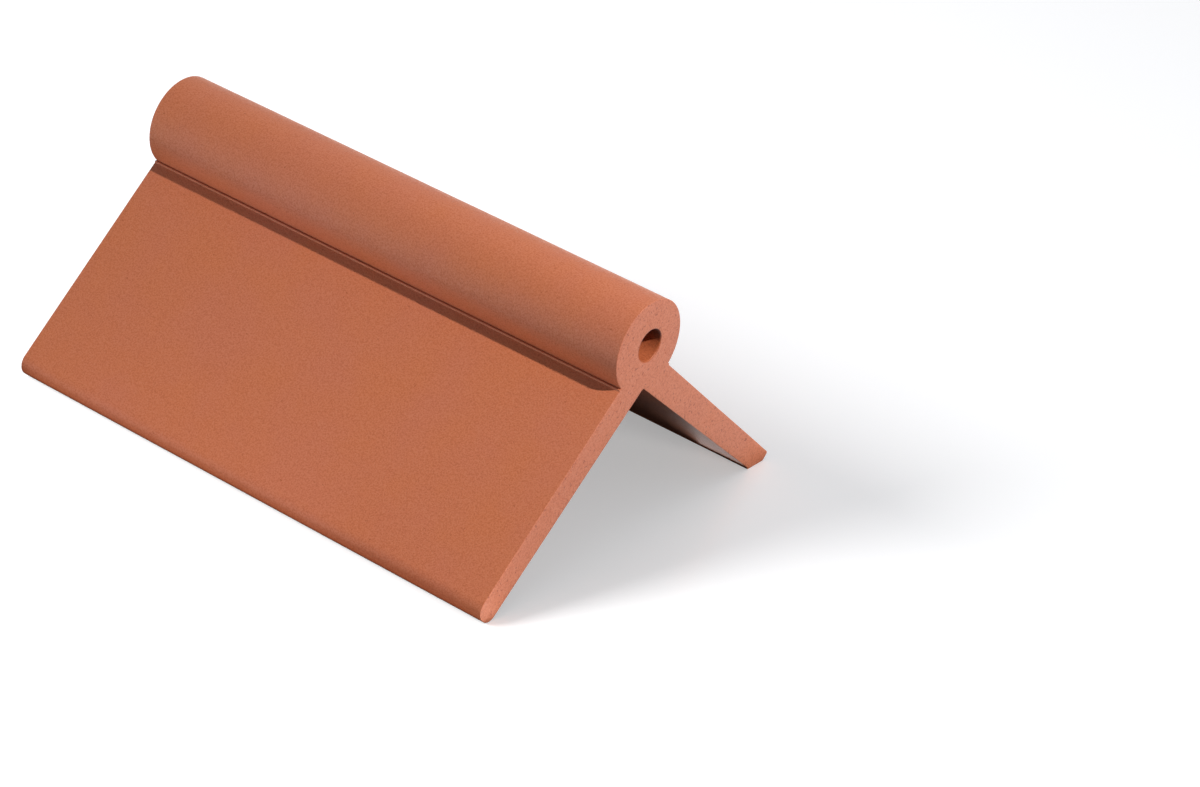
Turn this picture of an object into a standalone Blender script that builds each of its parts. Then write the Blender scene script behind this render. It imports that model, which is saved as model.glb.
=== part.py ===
"""Clay ridge tile: two plain wings that meet under a round roll with a bore along it.

Lengths are in metres. X runs along the ridge, Y across it and Z up. The tile stands on its two
feet, with the origin on the floor in the middle of its footprint. The near wing falls towards -Y
and the far wing towards +Y.

The section is drawn about the roll's axis. Each half of it is drawn as if it fell towards +Y, and
the near half is then mirrored. A place on a wing is given by its distance along the outer face,
counted from the roll's axis, and its depth square to that face.
"""

import math

import bmesh
import bpy

# Driving dimensions
RIDGE_LENGTH = 0.300
WING_LENGTH = 0.150  # near wing, from the roll's axis to its square-cut end
WING_SLOPE = math.radians(42.2)  # fall of both outer faces, which aim at the roll's axis
WALL_AT_RIDGE = 0.0173  # thickness of a wing, carried on to the roll's axis
WALL_AT_FOOT = 0.0143  # thickness of a wing at the near wing's end
ROLL_RADIUS = 0.0241
BORE_RADIUS = 0.0082
BORE_SIDESTEP = 0.001  # from the roll's axis to the bore's, towards the far wing
CREASE_RADIUS = 0.0012  # hollow corner between the roll and a wing
APEX_RADIUS = 0.001  # hollow corner under the ridge
NOSE_OUTER_RADIUS = 0.004  # near foot, a square cut with both corners rounded
NOSE_INNER_RADIUS = 0.0055
BED_DEPTH = 0.0004  # taken off the lowest part of the near foot, so that it lies flat
TOE_HEIGHT = 0.0038  # far foot, cut level: where its outer face ends above the floor
TOE_RADIUS = 0.0015

# How finely arcs are drawn, and how far the bore's cutter runs past each end
ARC_STEP = math.radians(6)
BORE_SIDES = 56
BORE_OVERRUN = 0.010

CLAY_COLOUR = (0.49, 0.155, 0.078, 1.0)
CLAY_ROUGHNESS = 0.88

WALL_TAPER = (WALL_AT_FOOT - WALL_AT_RIDGE) / WING_LENGTH
INNER_SLOPE = WING_SLOPE + math.atan(WALL_TAPER)
TOP = math.radians(90)


def wall(along):
    """Thickness of a wing at a distance along its outer face."""
    return WALL_AT_RIDGE + WALL_TAPER * along


def on_wing(along, depth):
    """Point of the section, as (y, z) from the roll's axis."""
    y = along * math.cos(WING_SLOPE) - depth * math.sin(WING_SLOPE)
    z = -along * math.sin(WING_SLOPE) - depth * math.cos(WING_SLOPE)
    return (y, z)


def arc(centre, radius, start, end):
    """Points on an arc, both ends included."""
    steps = max(2, math.ceil(abs(end - start) / ARC_STEP))
    angles = [start + (end - start) * step / steps for step in range(steps + 1)]
    return [(centre[0] + radius * math.cos(a), centre[1] + radius * math.sin(a)) for a in angles]


def nose_centre():
    """Centre of the rounding at the near foot's inner corner: it touches the end cut and the inner face."""
    along = WING_LENGTH - NOSE_INNER_RADIUS
    square_to_inner_face = math.hypot(1.0, WALL_TAPER)
    return on_wing(along, wall(along) - NOSE_INNER_RADIUS * square_to_inner_face)


def axis_height():
    """Height of the roll's axis over the floor, set by the near foot's bed."""
    return NOSE_INNER_RADIUS - BED_DEPTH - nose_centre()[1]


def inner_face_at(z):
    """Point of the inner face at a height from the roll's axis."""
    start_y, start_z = on_wing(0.0, WALL_AT_RIDGE)
    return (start_y + (start_z - z) / math.tan(INNER_SLOPE), z)


def roll_half():
    """From the roll's top down to the crease, then the hollow corner on to the wing."""
    reach = ROLL_RADIUS + CREASE_RADIUS
    lift = math.asin(CREASE_RADIUS / reach)
    crease_centre = on_wing(reach * math.cos(lift), -CREASE_RADIUS)
    crease_start = math.pi - WING_SLOPE + lift
    crease_end = 3 * TOP - WING_SLOPE
    roll = arc((0.0, 0.0), ROLL_RADIUS, TOP, lift - WING_SLOPE)
    return roll[:-1] + arc(crease_centre, CREASE_RADIUS, crease_start, crease_end)


def near_foot():
    """Square-cut end with rounded corners, and a flat bed where it meets the floor."""
    outer_centre = on_wing(WING_LENGTH - NOSE_OUTER_RADIUS, NOSE_OUTER_RADIUS)
    outer_corner = arc(outer_centre, NOSE_OUTER_RADIUS, TOP - WING_SLOPE, -WING_SLOPE)
    half_bed = math.acos(1 - BED_DEPTH / NOSE_INNER_RADIUS)
    before_bed = arc(nose_centre(), NOSE_INNER_RADIUS, -WING_SLOPE, -TOP + half_bed)
    after_bed = arc(nose_centre(), NOSE_INNER_RADIUS, -TOP - half_bed, -TOP - INNER_SLOPE)
    return outer_corner + before_bed + after_bed


def far_foot():
    """Level cut on the floor, with a short blunt toe outside it."""
    floor = -axis_height()
    toe = (axis_height() - TOE_HEIGHT) / math.sin(WING_SLOPE)
    upper_centre = on_wing(toe - TOE_RADIUS, TOE_RADIUS)
    drop = upper_centre[1] - (floor + TOE_RADIUS)
    lower_centre = (upper_centre[0] - drop * math.tan(WING_SLOPE), floor + TOE_RADIUS)
    upper_corner = arc(upper_centre, TOE_RADIUS, TOP - WING_SLOPE, -WING_SLOPE)
    lower_corner = arc(lower_centre, TOE_RADIUS, -WING_SLOPE, -TOP)
    return upper_corner + lower_corner + [inner_face_at(floor)]


def apex_half():
    """Hollow corner where the two inner faces meet, from this half's inner face to the middle."""
    start_y, start_z = on_wing(0.0, WALL_AT_RIDGE)
    meeting_z = start_z + start_y * math.tan(INNER_SLOPE)
    centre = (0.0, meeting_z - APEX_RADIUS / math.cos(INNER_SLOPE))
    return arc(centre, APEX_RADIUS, TOP - INNER_SLOPE, TOP)


def section():
    """Outline of the tile across the ridge, counted round from the roll's top."""
    far_half = roll_half() + far_foot() + apex_half()
    near_half = roll_half() + near_foot() + apex_half()
    mirrored = [(-y, z) for y, z in near_half]
    return far_half + mirrored[-2:0:-1]


def clay():
    """Unglazed fired clay."""
    material = bpy.data.materials.new("fired_clay")
    material.use_nodes = True
    shader = material.node_tree.nodes["Principled BSDF"]
    shader.inputs["Base Color"].default_value = CLAY_COLOUR
    shader.inputs["Roughness"].default_value = CLAY_ROUGHNESS
    shader.inputs["Metallic"].default_value = 0.0
    return material


def extruded_tile(outline, place):
    """The section drawn out along the ridge and cut off square at both ends."""
    form = bmesh.new()
    corners = [form.verts.new((-RIDGE_LENGTH / 2, y, z)) for y, z in outline]
    end_face = form.faces.new(corners)
    drawn = bmesh.ops.extrude_face_region(form, geom=[end_face])
    moved = [item for item in drawn["geom"] if isinstance(item, bmesh.types.BMVert)]
    bmesh.ops.translate(form, verts=moved, vec=(RIDGE_LENGTH, 0.0, 0.0))
    bmesh.ops.recalc_face_normals(form, faces=form.faces)
    mesh = bpy.data.meshes.new("ridge_tile")
    form.to_mesh(mesh)
    form.free()
    tile = bpy.data.objects.new("ridge_tile", mesh)
    tile.location = place
    bpy.context.scene.collection.objects.link(tile)
    return tile


def bore_cutter(place):
    """Round cutter along the bore, longer than the tile."""
    form = bmesh.new()
    bmesh.ops.create_cone(
        form,
        cap_ends=True,
        segments=BORE_SIDES,
        radius1=BORE_RADIUS,
        radius2=BORE_RADIUS,
        depth=RIDGE_LENGTH + 2 * BORE_OVERRUN,
    )
    mesh = bpy.data.meshes.new("bore_cutter")
    form.to_mesh(mesh)
    form.free()
    cutter = bpy.data.objects.new("bore_cutter", mesh)
    cutter.location = (place[0], place[1] + BORE_SIDESTEP, place[2])
    cutter.rotation_euler = (0.0, math.radians(90), 0.0)
    cutter.hide_render = True
    cutter.display_type = "WIRE"
    bpy.context.scene.collection.objects.link(cutter)
    return cutter


def build():
    outline = section()
    across = [y for y, z in outline]
    place = (0.0, -(min(across) + max(across)) / 2, axis_height())
    tile = extruded_tile(outline, place)
    bore = tile.modifiers.new("bore", "BOOLEAN")
    bore.operation = "DIFFERENCE"
    bore.solver = "EXACT"
    bore.object = bore_cutter(place)
    tile.data.shade_smooth()
    tile.data.set_sharp_from_angle(angle=math.radians(30))
    tile.data.materials.append(clay())


for old in list(bpy.data.objects):
    bpy.data.objects.remove(old, do_unlink=True)
build()
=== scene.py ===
"""Looks of the clay ridge tile: a softly worn mesh, fired clay, studio light and the camera.

Lengths are in metres. X runs along the ridge, Y across it and Z up, with the origin on the floor
in the middle of the tile's footprint. The section is drawn about the roll's axis, as the solid's
is: each half as if it fell towards +Y, with the near half then mirrored. A place on a wing is given
by its distance along the outer face, counted from the roll's axis, and its depth square to that face.
"""

import math
import random
from collections import namedtuple

import bmesh
import bpy
from mathutils import Matrix, Vector, noise
from mathutils.geometry import delaunay_2d_cdt


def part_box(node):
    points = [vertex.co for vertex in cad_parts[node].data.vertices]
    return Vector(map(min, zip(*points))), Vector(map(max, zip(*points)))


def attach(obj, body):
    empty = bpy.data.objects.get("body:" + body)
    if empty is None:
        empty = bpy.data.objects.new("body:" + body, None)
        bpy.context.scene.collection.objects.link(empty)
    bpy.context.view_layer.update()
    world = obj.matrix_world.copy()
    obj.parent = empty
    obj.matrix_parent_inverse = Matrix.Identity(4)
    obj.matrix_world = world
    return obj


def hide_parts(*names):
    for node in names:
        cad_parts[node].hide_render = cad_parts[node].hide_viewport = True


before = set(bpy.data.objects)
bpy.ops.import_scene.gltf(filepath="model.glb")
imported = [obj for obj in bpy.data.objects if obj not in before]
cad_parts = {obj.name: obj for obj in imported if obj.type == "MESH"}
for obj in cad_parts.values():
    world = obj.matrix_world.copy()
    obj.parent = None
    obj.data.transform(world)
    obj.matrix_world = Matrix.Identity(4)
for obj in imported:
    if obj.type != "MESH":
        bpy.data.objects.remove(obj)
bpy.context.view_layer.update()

MM = 0.001
TOP = math.radians(90)

# Driving dimensions of the section, the same as the solid's except where a comment says so
WING_LENGTH = 150.0 * MM
WING_SLOPE = math.radians(42.2)
WALL_AT_RIDGE = 17.3 * MM
WALL_AT_FOOT = 14.3 * MM
ROLL_RADIUS = 24.1 * MM
BORE_RADIUS = 8.2 * MM
BORE_SIDESTEP = 1.0 * MM
BEAD_RADIUS = 0.6 * MM  # thin bead of clay along each crease, in place of the solid's hollow corner
BEAD_GAP = 0.2 * MM  # between the roll and the bead
APEX_RADIUS = 1.0 * MM
NOSE_OUTER_RADIUS = 7.0 * MM  # worn rounder than the solid's
NOSE_INNER_RADIUS = 5.5 * MM
BED_DEPTH = 0.4 * MM
TOE_HEIGHT = 3.8 * MM
TOE_RADIUS = 1.5 * MM
HEEL_RADIUS = 0.5 * MM  # wear on the far foot's inner corner, sharp in the solid

# Wear of the cut ends' edges and of the bore's rim
ARRIS_RADIUS = 0.22 * MM
ARRIS_VARIATION = 0.3
ARRIS_PATCH = 12.0 * MM  # how far apart more and less worn stretches lie
ARRIS_SHIFT = 3.7  # between the two ends, so that they wear differently
ARRIS_SHARE = 0.6  # of an outer corner's own radius, at most
ARRIS_SPREAD = 0.5  # how fast the limit opens up away from such a corner
TIGHT_TURN = math.radians(1)
RIM_RADIUS = 0.6 * MM

# Slow unevenness of the drawn faces and of the cut ends
SWELL_DEPTH = 0.15 * MM
SWELL_LENGTH = 45.0 * MM
SWELL_START = 1.0 * MM  # height over the floor where the swell begins
SWELL_RISE = 6.0 * MM  # height over which it grows to its full depth
DENT_DEPTH = 0.10 * MM
DENT_LENGTH = 18.0 * MM

# Open pores in the cut ends
PITS_PER_END = 90
PIT_RADIUS = (0.16 * MM, 0.46 * MM)
PIT_SQUEEZE = 0.55  # the narrowest pore's width as a share of its length
PIT_DEPTH = 1.9  # as a share of the narrow half-width
PIT_BOWL = 0.75  # share of the width, and of the depth, where the bowl bends
PIT_SIDES = 8
PIT_GAP = 2.0 * MM
PIT_BORE_GAP = 2.5 * MM
PIT_SEED = 11

# Fineness of the mesh
ARC_STEP = math.radians(4)
SHORTEST_SIDE = 0.25 * MM
CELL = 3.0 * MM
EDGE_CELL = 0.4 * MM
ARRIS_STEPS = 5
BORE_SIDES = 72
BORE_CELL = 12.0 * MM
CUT_CELL = 4.0 * MM
CUT_JITTER = 0.3  # of a cell, either way
CUT_GAP = 1.5 * MM
CUT_BORE_GAP = 2.0 * MM
CDT_INSIDE_ONLY = 1  # keeps the triangles within the outermost loop
CDT_TOLERANCE = 1e-6

# Material slots of the mesh
DRAWN = 0
CUT = 1
BORED = 2

# Clay colours: the body, the flush that it drifts to, dark sand, pale grit, and how high the noise
# stands where a dark speck starts
DRAWN_CLAY = {
    "body": (0.60, 0.182, 0.078, 1),
    "flush": (0.59, 0.182, 0.093, 1),
    "dark": (0.33, 0.070, 0.020, 1),
    "pale": (0.68, 0.31, 0.19, 1),
    "speck_start": 0.75,
}
CUT_CLAY = {
    "body": (0.64, 0.205, 0.108, 1),
    "flush": (0.62, 0.200, 0.113, 1),
    "dark": (0.26, 0.055, 0.028, 1),
    "pale": (0.72, 0.33, 0.23, 1),
    "speck_start": 0.665,
}
# The bore's clay is darker than the drawn clay as painted shade inside the bore; its grain and specks
# are the clay's own
BORE_CLAY_PAINTED_SHADE = {
    "body": (0.45, 0.110, 0.035, 1),
    "flush": (0.47, 0.120, 0.045, 1),
    "dark": (0.20, 0.045, 0.018, 1),
    "pale": (0.60, 0.22, 0.10, 1),
    "speck_start": 0.74,
}
# Painted shadow in the bore's roof: its upper half is darkened nearly to black, where the bore lies
# in shade
ROOF_PAINTED_SHADE = (0.10, 0.012, 0.004, 1)
ROOF_SHADE_SHARE = 0.95
ROOF_SHADE_SPAN = (-1.0 * MM, 3.0 * MM)  # height from the roll's axis where the roof's painted shadow comes in

# Grain of all three clays
DRIFT_SIZE = 38.0 * MM
DRIFT_SPAN = (0.35, 0.65)
SAND_SIZE = 0.8 * MM
DARK_SPAN = (0.48, 0.66)
DARK_SHARE = 0.34
PALE_SPAN = (0.34, 0.52)
PALE_SHARE = 0.22
SPECK_SIZE = 1.7 * MM
SPECK_EDGE = 0.04
SPECK_SHARE = 0.55
ROUGH_SPAN = (0.3, 0.7)
ROUGHNESS = (0.42, 0.60)
SAND_DEPTH = 0.16 * MM
LUMP_SIZE = 4.5 * MM
LUMP_DEPTH = 0.12 * MM
CLAY_SPECULAR = 0.5

# Floor
FLOOR_HALF_WIDTH = 4.0
FLOOR_COLOUR = (0.80, 0.80, 0.80, 1.0)
FLOOR_ROUGHNESS = 0.25
FLOOR_SPECULAR = 0.4
FLOOR_GLOW = 0.36

# Key light, aimed at the near end from this direction
KEY_DIRECTION = Vector((0.6435, -0.0721, 0.7620))
KEY_DISTANCE = 2.0
KEY_SIZE = 0.06
KEY_POWER = 43.2
KEY_COLOUR = (1.0, 0.95, 0.88)

# Cards that lie on the floor and light only the tile: places in x, places in y, and glow
CARDS = {
    "front_card": ((-1.5, 0.06), (-3.0, -0.13), 1.2),  # before the near wing
    "foot_card": ((-0.15, 0.15), (-0.25, -0.112), 0.72),  # narrow strip along the near foot
    "back_card": ((-2.2, 0.10), (0.16, 3.0), 1.6),  # behind the far wing
    "end_card": ((0.16, 0.8), (0.10, 0.9), 0.95),  # to the right of the near end
    "corner_card": ((0.152, 0.25), (-0.25, -0.095), 1.0),  # at the near foot's corner
    "gloss_card": ((0.155, 0.50), (-0.10, 0.10), 0.8),  # before the opening, for the cut end's sheen
    "inner_card": ((0.12, 0.15), (0.045, 0.095), 1.25),  # under the far wing, for its sheen inside
}
CARD_HEIGHT = 1.0 * MM
SHEEN_CARDS = ("gloss_card", "inner_card")
WHITE = (1.0, 1.0, 1.0)
CARD_COLOURS = {"foot_card": (1.0, 0.62, 0.42)}  # floor that carries the clay's own warm bounce

# Lamps that light only the floor: direction, distance, size and power
FLOOR_LAMPS = {
    "side": ((-0.60, -0.95, 0.72), 2.5, 1.2, 80.0),
    "top": ((0.0, 0.0, 1.0), 2.0, 1.4, 4.0),
    "fill": ((0.90, -0.20, 0.35), 2.5, 0.6, 16.0),
}

# Surroundings, by direction; a height is the sine of the angle above the horizon
SKY_AXIS = Vector((0.25, 0.75, 0.60))
SKY_SPAN = (0.1, 0.9)
SKY_DIM = (0.08, 0.087, 0.10, 1.0)  # towards the camera's side
SKY_BRIGHT = (0.42, 0.43, 0.46, 1.0)  # above and behind the tile
WALL_COLOUR = (0.65, 0.66, 0.68, 1.0)  # low white wall on the far end's side
WALL_TOP = (0.20, 0.45)
WALL_SIDE = (-0.20, 0.20)
GROUND_COLOUR = (0.012, 0.010, 0.009, 1.0)
HORIZON = (-0.02, 0.02)

# Camera of the photograph, fitted to the tile's outline
IMAGE_WIDTH = 1200
FOCAL_LENGTH_PX = 4016.14
SENSOR_WIDTH_MM = 36.0
CAMERA_PLACE = (1.0761, -1.3474, 1.0279)
CAMERA_AZIMUTH = math.radians(35.256)
CAMERA_ELEVATION = math.radians(30.128)
CAMERA_ROLL = math.radians(6.842)

WALL_TAPER = (WALL_AT_FOOT - WALL_AT_RIDGE) / WING_LENGTH
INNER_SLOPE = WING_SLOPE + math.atan(WALL_TAPER)

solid_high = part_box("ridge_tile")[1]
HALF_LENGTH = solid_high.x
FAR_TOE = solid_high.y
AXIS_HEIGHT = solid_high.z - ROLL_RADIUS

Pit = namedtuple("Pit", "place wide narrow turn")


def wall(along):
    """Thickness of a wing at a distance along its outer face."""
    return WALL_AT_RIDGE + WALL_TAPER * along


def on_wing(along, depth):
    """Point of the section, as (y, z) from the roll's axis."""
    y = along * math.cos(WING_SLOPE) - depth * math.sin(WING_SLOPE)
    z = -along * math.sin(WING_SLOPE) - depth * math.cos(WING_SLOPE)
    return (y, z)


def arc(centre, radius, start, end):
    """Points on an arc, both ends included."""
    steps = max(3, math.ceil(abs(end - start) / max(ARC_STEP, SHORTEST_SIDE / radius)))
    angles = [start + (end - start) * step / steps for step in range(steps + 1)]
    return [(centre[0] + radius * math.cos(a), centre[1] + radius * math.sin(a)) for a in angles]


def nose_centre():
    """Centre of the rounding at the near foot's inner corner."""
    along = WING_LENGTH - NOSE_INNER_RADIUS
    return on_wing(along, wall(along) - NOSE_INNER_RADIUS * math.hypot(1.0, WALL_TAPER))


def roll_half():
    """From the roll's top down to the crease, then over the bead on to the wing."""
    roll = arc((0.0, 0.0), ROLL_RADIUS, TOP, -WING_SLOPE)
    bead_centre = on_wing(ROLL_RADIUS + BEAD_GAP + BEAD_RADIUS, 0.0)
    bead = arc(bead_centre, BEAD_RADIUS, math.pi - WING_SLOPE, -WING_SLOPE)
    return roll + bead


def near_foot():
    """Square-cut end with rounded corners, worn a little flat where it meets the floor."""
    outer_centre = on_wing(WING_LENGTH - NOSE_OUTER_RADIUS, NOSE_OUTER_RADIUS)
    outer_corner = arc(outer_centre, NOSE_OUTER_RADIUS, TOP - WING_SLOPE, -WING_SLOPE)
    centre = nose_centre()
    inner_corner = arc(centre, NOSE_INNER_RADIUS, -WING_SLOPE, -TOP - INNER_SLOPE)
    flattening = 1 - BED_DEPTH / NOSE_INNER_RADIUS
    return outer_corner + [(y, centre[1] + (z - centre[1]) * flattening) for y, z in inner_corner]


def far_foot():
    """Level cut on the floor, with a short blunt toe outside it and a worn corner inside."""
    level = -AXIS_HEIGHT
    toe = (AXIS_HEIGHT - TOE_HEIGHT) / math.sin(WING_SLOPE)
    upper_centre = on_wing(toe - TOE_RADIUS, TOE_RADIUS)
    drop = upper_centre[1] - (level + TOE_RADIUS)
    lower_centre = (upper_centre[0] - drop * math.tan(WING_SLOPE), level + TOE_RADIUS)
    upper_corner = arc(upper_centre, TOE_RADIUS, TOP - WING_SLOPE, -WING_SLOPE)
    lower_corner = arc(lower_centre, TOE_RADIUS, -WING_SLOPE, -TOP)
    start_y, start_z = on_wing(0.0, WALL_AT_RIDGE)
    heel_y = start_y + (start_z - level) / math.tan(INNER_SLOPE)
    heel_centre = (heel_y + HEEL_RADIUS / math.tan(INNER_SLOPE / 2), level + HEEL_RADIUS)
    heel = arc(heel_centre, HEEL_RADIUS, -TOP, -TOP - math.pi + INNER_SLOPE)
    return upper_corner + lower_corner + heel


def apex_half():
    """Hollow corner where the two inner faces meet, from this half's inner face to the middle."""
    start_y, start_z = on_wing(0.0, WALL_AT_RIDGE)
    meeting_z = start_z + start_y * math.tan(INNER_SLOPE)
    centre = (0.0, meeting_z - APEX_RADIUS / math.cos(INNER_SLOPE))
    return arc(centre, APEX_RADIUS, TOP - INNER_SLOPE, TOP)


def spaced(start, end, cell):
    """Places between two numbers: a narrow step at each end and even steps between."""
    inner_length = end - start - 2 * EDGE_CELL
    steps = max(1, math.ceil(inner_length / cell))
    return [start + EDGE_CELL + inner_length / steps * count for count in range(steps + 1)]


def sides(loop):
    """Each member of a closed loop, paired with the next one."""
    return zip(loop, loop[1:] + loop[:1])


def corners(loop):
    """Each member of a closed loop, between the one before it and the one after it."""
    return zip(loop[-1:] + loop[:-1], loop, loop[1:] + loop[:1])


def section():
    """Fine outline of the tile across the ridge, as (y, z) from the floor, and the roll axis's y."""
    far_half = roll_half() + far_foot() + apex_half()
    near_half = roll_half() + near_foot() + apex_half()
    drawn = far_half + [(-y, z) for y, z in near_half][-2:0:-1]
    sidestep = FAR_TOE - max(y for y, z in drawn)
    placed = [Vector((y + sidestep, z + AXIS_HEIGHT)) for y, z in drawn]
    outline = []
    for here, after in sides(placed):
        length = (after - here).length
        outline.append(here)
        if length > CELL:
            outline += [here.lerp(after, along / length) for along in spaced(0.0, length, CELL)]
    return outline, sidestep


def inward(outline):
    """For each outline point, the step that moves both its sides in by one unit."""
    steps = []
    for before, here, after in corners(outline):
        directions = [(here - before).normalized(), (after - here).normalized()]
        normals = [Vector((direction.y, -direction.x)) for direction in directions]
        steps.append((normals[0] + normals[1]) / (1 + normals[0].dot(normals[1])))
    return steps


def arris_limit(outline):
    """The most that each point's edge may be worn: less round tight outer corners."""
    tight = []
    for before, here, after in corners(outline):
        turn = (here - before).angle_signed(after - here)
        length = ((here - before).length + (after - here).length) / 2
        if turn > TIGHT_TURN:
            tight.append((here, ARRIS_SHARE * length / turn))
    return [min(limit + ARRIS_SPREAD * (p - q).length for q, limit in tight) for p in outline]


def swell(x, y, z):
    """How deep the drawn face lies under its true place; none on the beds under the feet."""
    rise = noise.noise(Vector((x, y, z)) / SWELL_LENGTH) * 0.5 + 0.5
    off_the_floor = min(1.0, max(0.0, (z - SWELL_START) / SWELL_RISE))
    return SWELL_DEPTH * min(1.0, max(0.0, rise)) * off_the_floor


def joined(form, first, second, clay):
    """Band of faces of one clay between two closed rings of the same count."""
    for (a, b), (c, d) in zip(sides(first), sides(second)):
        form.faces.new((a, b, d, c)).material_index = clay


def drawn_point(form, x, place, step, depth):
    """Vertex of the outer face, sunk by the swell and by a further depth."""
    sunk = place + step * (depth + swell(x, place.x, place.y))
    return form.verts.new((x, sunk.x, max(0.0, sunk.y)))


def arris_rings(form, outline, steps, sign):
    """Rings over the worn arris of one end, from the drawn face out to the cut."""
    shift = Vector((sign * ARRIS_SHIFT, 0.0, 0.0))
    wear = [noise.noise(Vector((0.0, p.x, p.y)) / ARRIS_PATCH + shift) for p in outline]
    worn = [ARRIS_RADIUS * (1 + ARRIS_VARIATION * share) for share in wear]
    radii = [min(radius, limit) for radius, limit in zip(worn, arris_limit(outline))]
    rings = []
    for count in range(ARRIS_STEPS + 1):
        angle = TOP * count / ARRIS_STEPS
        ring = []
        for place, step, radius in zip(outline, steps, radii):
            x = sign * (HALF_LENGTH - radius * (1 - math.sin(angle)))
            ring.append(drawn_point(form, x, place, step, radius * (1 - math.cos(angle))))
        rings.append(ring)
    return rings


def drawn_rings(form, outline, steps):
    """The outer face: rings of points along the ridge, with a worn arris at both ends."""
    limit = HALF_LENGTH - ARRIS_RADIUS * (1 + ARRIS_VARIATION)
    middle = []
    for x in [-limit] + spaced(-limit, limit, CELL) + [limit]:
        middle.append([drawn_point(form, x, place, step, 0.0) for place, step in zip(outline, steps)])
    far_arris = arris_rings(form, outline, steps, -1)
    near_arris = arris_rings(form, outline, steps, 1)
    return far_arris[::-1] + middle + near_arris


def bore_rings(form, centre):
    """The bore's wall, with a worn rim at both ends."""
    limit = HALF_LENGTH - RIM_RADIUS
    wall_places = [(x, 0.0) for x in [-limit] + spaced(-limit, limit, BORE_CELL) + [limit]]
    turns = [TOP * count / ARRIS_STEPS for count in range(1, ARRIS_STEPS + 1)]
    rim = [(limit + RIM_RADIUS * math.sin(t), RIM_RADIUS * (1 - math.cos(t))) for t in turns]
    rings = []
    for x, widening in [(-x, widening) for x, widening in rim[::-1]] + wall_places + rim:
        radius = BORE_RADIUS + widening
        angles = [2 * math.pi * count / BORE_SIDES for count in range(BORE_SIDES)]
        around = [(centre.x + radius * math.cos(a), centre.y + radius * math.sin(a)) for a in angles]
        rings.append([form.verts.new((x, y, z)) for y, z in around])
    return rings


def extent(outline):
    """Lowest and highest corner of the outline's box."""
    low = Vector((min(p.x for p in outline), min(p.y for p in outline)))
    high = Vector((max(p.x for p in outline), max(p.y for p in outline)))
    return low, high


def clear_of(place, others, gap):
    """Whether a point lies further than a gap from all the others."""
    return all((place - other).length > gap for other in others)


def inside(place, outline):
    """Whether a point lies inside the closed outline."""
    within = False
    for here, after in sides(outline):
        if (here.y > place.y) != (after.y > place.y):
            crossing = here.x + (place.y - here.y) * (after.x - here.x) / (after.y - here.y)
            if place.x < crossing:
                within = not within
    return within


def on_cut(place, outline, bore_centre, bore_gap):
    """Whether a point lies on the cut face, at least a gap away from the bore."""
    return (place - bore_centre).length >= BORE_RADIUS + bore_gap and inside(place, outline)


def pits(outline, bore_centre, draw):
    """Small open pores strewn over a cut end."""
    low, high = extent(outline)
    chosen = []
    while len(chosen) < PITS_PER_END:
        place = Vector((draw.uniform(low.x, high.x), draw.uniform(low.y, high.y)))
        wide = draw.triangular(*PIT_RADIUS, PIT_RADIUS[0])
        narrow = wide * draw.uniform(PIT_SQUEEZE, 1.0)
        turn = draw.uniform(0.0, math.pi)
        taken = outline + [pit.place for pit in chosen]
        if on_cut(place, outline, bore_centre, PIT_BORE_GAP) and clear_of(place, taken, PIT_GAP):
            chosen.append(Pit(place, wide, narrow, turn))
    return chosen


def pit_ring(form, pit, x, share):
    """Ring of points round a pit at a place along the ridge and a share of its width."""
    ring = []
    for count in range(PIT_SIDES):
        angle = 2 * math.pi * count / PIT_SIDES
        along = pit.wide * share * math.cos(angle)
        across = pit.narrow * share * math.sin(angle)
        y = along * math.cos(pit.turn) - across * math.sin(pit.turn)
        z = along * math.sin(pit.turn) + across * math.cos(pit.turn)
        place = pit.place + Vector((y, z))
        ring.append(form.verts.new((x, place.x, place.y)))
    return ring


def sink_pit(form, sign, pit, rim):
    """Bowl of a pore, from its rim down to one point."""
    depth = pit.narrow * PIT_DEPTH
    edge = HALF_LENGTH * sign
    middle = pit_ring(form, pit, edge - sign * depth * PIT_BOWL, PIT_BOWL)
    bottom = form.verts.new((edge - sign * depth, pit.place.x, pit.place.y))
    joined(form, rim, middle, CUT)
    for here, after in sides(middle):
        form.faces.new((here, after, bottom)).material_index = CUT
    for rim_side in sides(rim):
        form.edges.get(rim_side).smooth = False


def dented_points(form, sign, outline, bore_centre, taken, draw):
    """Points strewn over a cut end in rough rows, clear of those taken and each sunk a little."""
    edge = HALF_LENGTH * sign
    low, high = extent(outline)
    columns = math.ceil((high.x - low.x) / CUT_CELL)
    rows = math.ceil((high.y - low.y) / CUT_CELL)
    points = []
    for cell in [(column, row) for column in range(columns + 1) for row in range(rows + 1)]:
        jitter = [draw.uniform(-CUT_JITTER, CUT_JITTER) for axis in cell]
        place = low + Vector(cell) * CUT_CELL
        place += Vector(jitter) * CUT_CELL
        if on_cut(place, outline, bore_centre, CUT_BORE_GAP) and clear_of(place, taken, CUT_GAP):
            rise = noise.noise(Vector((sign, place.x, place.y)) / DENT_LENGTH)
            x = edge - sign * DENT_DEPTH * max(0.0, rise)
            points.append(form.verts.new((x, place.x, place.y)))
    return points


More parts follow.
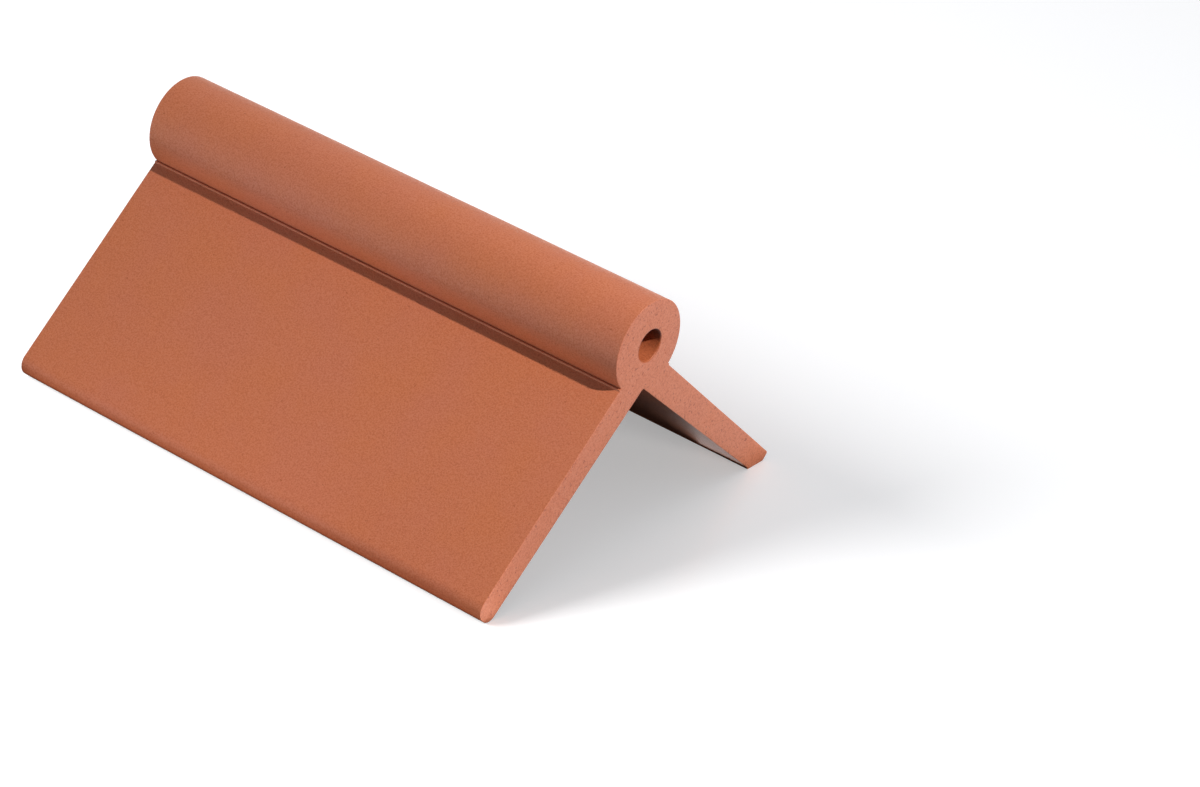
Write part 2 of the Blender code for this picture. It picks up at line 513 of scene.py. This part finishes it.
def cut_end(form, sign, rim, bore_rim, outline, bore_centre, draw):
    """A cut end between the tile's rim and the bore's, with pores sunk into it."""
    chosen = pits(outline, bore_centre, draw)
    pit_rims = [pit_ring(form, pit, HALF_LENGTH * sign, 1.0) for pit in chosen]
    points = []
    numbered = []
    for loop in [rim, bore_rim] + pit_rims:
        numbered.append(list(range(len(points), len(points) + len(loop))))
        points += loop
    points += dented_points(form, sign, outline, bore_centre, [p.co.yz for p in points], draw)
    kept_sides = [side for loop in numbered for side in sides(loop)]
    flat = [p.co.yz / MM for p in points]
    made = delaunay_2d_cdt(flat, kept_sides, [], CDT_INSIDE_ONLY, CDT_TOLERANCE)
    triangles, sources = made[2], made[3]
    holes = [set(loop) for loop in numbered[1:]]
    for triangle in triangles:
        numbers = [sources[corner][0] for corner in triangle]
        if not any(hole.issuperset(numbers) for hole in holes):
            form.faces.new([points[number] for number in numbers]).material_index = CUT
    for pit, pit_rim in zip(chosen, pit_rims):
        sink_pit(form, sign, pit, pit_rim)


def tile_mesh():
    """The whole tile as one closed mesh of three clays: drawn faces, cut ends and bore."""
    outline, sidestep = section()
    bore_centre = Vector((sidestep + BORE_SIDESTEP, AXIS_HEIGHT))
    form = bmesh.new()
    outer = drawn_rings(form, outline, inward(outline))
    bore = bore_rings(form, bore_centre)
    last_band = len(outer) - 2
    for band, (first, second) in enumerate(zip(outer, outer[1:])):
        on_the_arris = min(band, last_band - band) < ARRIS_STEPS - 1
        joined(form, first, second, CUT if on_the_arris else DRAWN)
    for first, second in zip(bore, bore[1:]):
        joined(form, first, second, BORED)
    draw = random.Random(PIT_SEED)
    cut_end(form, -1, outer[0], bore[0], outline, bore_centre, draw)
    cut_end(form, 1, outer[-1], bore[-1], outline, bore_centre, draw)
    for face in form.faces:
        face.smooth = True
    bmesh.ops.recalc_face_normals(form, faces=form.faces)
    mesh = bpy.data.meshes.new("tile_clay")
    form.to_mesh(mesh)
    form.free()
    return mesh


class Nodes:
    """Short names for adding and joining the nodes of one material or world."""

    def __init__(self, owner, coordinates):
        owner.use_nodes = True
        self.owner = owner
        self.tree = owner.node_tree
        self.place = self.add("ShaderNodeTexCoord").outputs[coordinates]

    def add(self, kind, **settings):
        """New node of a kind, with its settings."""
        node = self.tree.nodes.new(kind)
        for name, value in settings.items():
            setattr(node, name, value)
        return node

    def join(self, source, target):
        """Link from an output to an input."""
        self.tree.links.new(source, target)

    def noise(self, size, detail=2.0, rough=0.5):
        """Noise whose lumps are about the given size across."""
        node = self.add("ShaderNodeTexNoise")
        node.inputs["Scale"].default_value = 1.0 / size
        node.inputs["Detail"].default_value = detail
        node.inputs["Roughness"].default_value = rough
        self.join(self.place, node.inputs["Vector"])
        return node.outputs["Fac"]

    def spread(self, value, span, to_low=0.0, to_high=1.0, interpolation="LINEAR"):
        """A value stretched from one span to another, and held inside it."""
        node = self.add("ShaderNodeMapRange", interpolation_type=interpolation)
        self.join(value, node.inputs["Value"])
        ends = {"From Min": span[0], "From Max": span[1], "To Min": to_low, "To Max": to_high}
        for name, number in ends.items():
            node.inputs[name].default_value = number
        return node.outputs["Result"]

    def mix(self, amount, first, second):
        """Blend of two colours, each a socket or a plain colour."""
        node = self.add("ShaderNodeMix", data_type="RGBA")
        self.join(amount, node.inputs["Factor"])
        sockets = [socket for socket in node.inputs if socket.type == "RGBA"]
        for socket, colour in zip(sockets, (first, second)):
            if isinstance(colour, tuple):
                socket.default_value = colour
            else:
                self.join(colour, socket)
        return [socket for socket in node.outputs if socket.type == "RGBA"][0]

    def blend(self, value, span, first, second):
        """Colour that goes softly from the first to the second as a value crosses a span."""
        return self.mix(self.spread(value, span, interpolation="SMOOTHSTEP"), first, second)

    def bump(self, height, depth, below=None):
        """Normal of a bump of the given depth, on top of another normal."""
        node = self.add("ShaderNodeBump")
        node.inputs["Distance"].default_value = depth
        self.join(height, node.inputs["Height"])
        if below is not None:
            self.join(below, node.inputs["Normal"])
        return node.outputs["Normal"]


def clay_nodes(name, body, flush, dark, pale, speck_start):
    """Unglazed fired clay: slow colour drift, fine dark and pale sand, specks and a dull sheen."""
    nodes = Nodes(bpy.data.materials.new(name), "Object")
    shader = nodes.tree.nodes["Principled BSDF"]
    drift = nodes.noise(DRIFT_SIZE, 3.0)
    sand = nodes.noise(SAND_SIZE, 3.0, 0.65)
    lumps = nodes.noise(LUMP_SIZE)
    specks = nodes.noise(SPECK_SIZE, 1.0)
    speck_span = (speck_start, speck_start + SPECK_EDGE)
    colour = nodes.mix(nodes.spread(drift, DRIFT_SPAN), body, flush)
    colour = nodes.mix(nodes.spread(sand, DARK_SPAN, 0.0, DARK_SHARE), colour, dark)
    colour = nodes.mix(nodes.spread(sand, PALE_SPAN, PALE_SHARE, 0.0), colour, pale)
    colour = nodes.mix(nodes.spread(specks, speck_span, 0.0, SPECK_SHARE), colour, dark)
    nodes.join(colour, shader.inputs["Base Color"])
    nodes.join(nodes.spread(sand, ROUGH_SPAN, *ROUGHNESS), shader.inputs["Roughness"])
    slow_bump = nodes.bump(lumps, LUMP_DEPTH)
    nodes.join(nodes.bump(sand, SAND_DEPTH, slow_bump), shader.inputs["Normal"])
    shader.inputs["Specular IOR Level"].default_value = CLAY_SPECULAR
    return nodes


def drawn_clay():
    """Skin of the drawn faces."""
    return clay_nodes("drawn_clay", **DRAWN_CLAY).owner


def cut_clay():
    """Paler, coarser clay of the cut ends."""
    return clay_nodes("cut_clay", **CUT_CLAY).owner


def bore_clay_painted_shade():
    """Clay of the bore, darkened as painted shade, with painted shadow darkest in the bore's roof."""
    nodes = clay_nodes("bore_clay_painted_shade", **BORE_CLAY_PAINTED_SHADE)
    target = nodes.tree.nodes["Principled BSDF"].inputs["Base Color"]
    skin = target.links[0].from_socket
    place = nodes.add("ShaderNodeSeparateXYZ")
    nodes.join(nodes.place, place.inputs["Vector"])
    # Painted shadow: above the roll's axis the bore's colour goes nearly black
    roof_shade_span = [AXIS_HEIGHT + height for height in ROOF_SHADE_SPAN]
    roof_shade = nodes.spread(place.outputs["Z"], roof_shade_span, 0.0, ROOF_SHADE_SHARE)
    nodes.join(nodes.mix(roof_shade, skin, ROOF_PAINTED_SHADE), target)
    return nodes.owner


def tile():
    """The dressed tile, in place of the solid."""
    piece = bpy.data.objects.new("tile_clay", tile_mesh())
    bpy.context.scene.collection.objects.link(piece)
    for clay in (drawn_clay(), cut_clay(), bore_clay_painted_shade()):
        piece.data.materials.append(clay)
    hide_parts("ridge_tile")
    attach(piece, "root")
    return piece


def floor():
    """Pale floor, a little glossy; its bounce on the tile comes from the cards instead."""
    mesh = bpy.data.meshes.new("floor")
    w = FLOOR_HALF_WIDTH
    mesh.from_pydata([(-w, -w, 0), (w, -w, 0), (w, w, 0), (-w, w, 0)], [], [(0, 1, 2, 3)])
    ground = bpy.data.objects.new("floor", mesh)
    bpy.context.scene.collection.objects.link(ground)
    material = bpy.data.materials.new("floor")
    material.use_nodes = True
    shader = material.node_tree.nodes["Principled BSDF"]
    shader.inputs["Base Color"].default_value = FLOOR_COLOUR
    shader.inputs["Roughness"].default_value = FLOOR_ROUGHNESS
    shader.inputs["Specular IOR Level"].default_value = FLOOR_SPECULAR
    shader.inputs["Emission Color"].default_value = (*WHITE, 1.0)
    shader.inputs["Emission Strength"].default_value = FLOOR_GLOW
    mesh.materials.append(material)
    ground.visible_diffuse = False
    ground.visible_glossy = False
    return ground


def lamp(name, place, direction, size, power, colour, lit):
    """Area light that shines on one piece only, round or, with two sizes, a rectangle."""
    data = bpy.data.lights.new(name, "AREA")
    if isinstance(size, tuple):
        data.shape = "RECTANGLE"
        data.size, data.size_y = size
    else:
        data.shape = "DISK"
        data.size = size
    data.energy = power
    data.color = colour
    light = bpy.data.objects.new(name, data)
    light.location = place
    light.rotation_mode = "QUATERNION"
    light.rotation_quaternion = direction.to_track_quat("Z", "Y")
    light.visible_camera = False
    bpy.context.scene.collection.objects.link(light)
    group = bpy.data.collections.new(name + "_lit")
    group.objects.link(lit)
    light.light_linking.receiver_collection = group
    return light


def card(name, lit):
    """Card that lies on the floor and faces up."""
    (left, right), (front, back), glow = CARDS[name]
    place = Vector(((left + right) / 2, (front + back) / 2, CARD_HEIGHT))
    size = (right - left, back - front)
    power = glow * math.pi * size[0] * size[1]
    light = lamp(name, place, Vector((0, 0, -1)), size, power, CARD_COLOURS.get(name, WHITE), lit)
    light.visible_diffuse = name not in SHEEN_CARDS
    return light


def lights(clay_tile, ground):
    """Key and cards for the tile, and lamps for the floor."""
    near_end = Vector((HALF_LENGTH, 0.0, AXIS_HEIGHT))
    key_place = near_end + KEY_DIRECTION * KEY_DISTANCE
    lamp("key", key_place, KEY_DIRECTION, KEY_SIZE, KEY_POWER, KEY_COLOUR, clay_tile)
    for name in CARDS:
        card(name, clay_tile)
    for name, (towards, distance, size, power) in FLOOR_LAMPS.items():
        direction = Vector(towards).normalized()
        lamp(name, direction * distance, direction, size, power, WHITE, ground)


def sky():
    """Soft light from above and behind, fainter towards the camera's side, and none from below."""
    world = bpy.data.worlds.new("studio")
    bpy.context.scene.world = world
    nodes = Nodes(world, "Generated")
    facing = nodes.add("ShaderNodeVectorMath", operation="DOT_PRODUCT")
    facing.inputs[1].default_value = SKY_AXIS.normalized()
    nodes.join(nodes.place, facing.inputs[0])
    direction = nodes.add("ShaderNodeSeparateXYZ")
    nodes.join(nodes.place, direction.inputs["Vector"])
    open_sky = nodes.blend(facing.outputs["Value"], SKY_SPAN, SKY_DIM, SKY_BRIGHT)
    walled_sky = nodes.blend(direction.outputs["Z"], WALL_TOP, WALL_COLOUR, open_sky)
    upper_half = nodes.blend(direction.outputs["X"], WALL_SIDE, walled_sky, open_sky)
    whole = nodes.blend(direction.outputs["Z"], HORIZON, GROUND_COLOUR, upper_half)
    nodes.join(whole, nodes.tree.nodes["Background"].inputs["Color"])


def camera():
    """The photograph's camera."""
    data = bpy.data.cameras.new("camera")
    data.sensor_width = SENSOR_WIDTH_MM
    data.lens = FOCAL_LENGTH_PX * SENSOR_WIDTH_MM / IMAGE_WIDTH
    eye = bpy.data.objects.new("camera", data)
    turn = Matrix.Rotation(CAMERA_AZIMUTH, 4, "Z")
    tilt = Matrix.Rotation(TOP - CAMERA_ELEVATION, 4, "X")
    lean = Matrix.Rotation(CAMERA_ROLL, 4, "Z")
    eye.matrix_world = Matrix.Translation(CAMERA_PLACE) @ turn @ tilt @ lean
    bpy.context.scene.collection.objects.link(eye)
    bpy.context.scene.camera = eye


camera()
clay_tile = tile()
ground = floor()
sky()
lights(clay_tile, ground)
bpy.context.scene.view_settings.view_transform = "Standard"
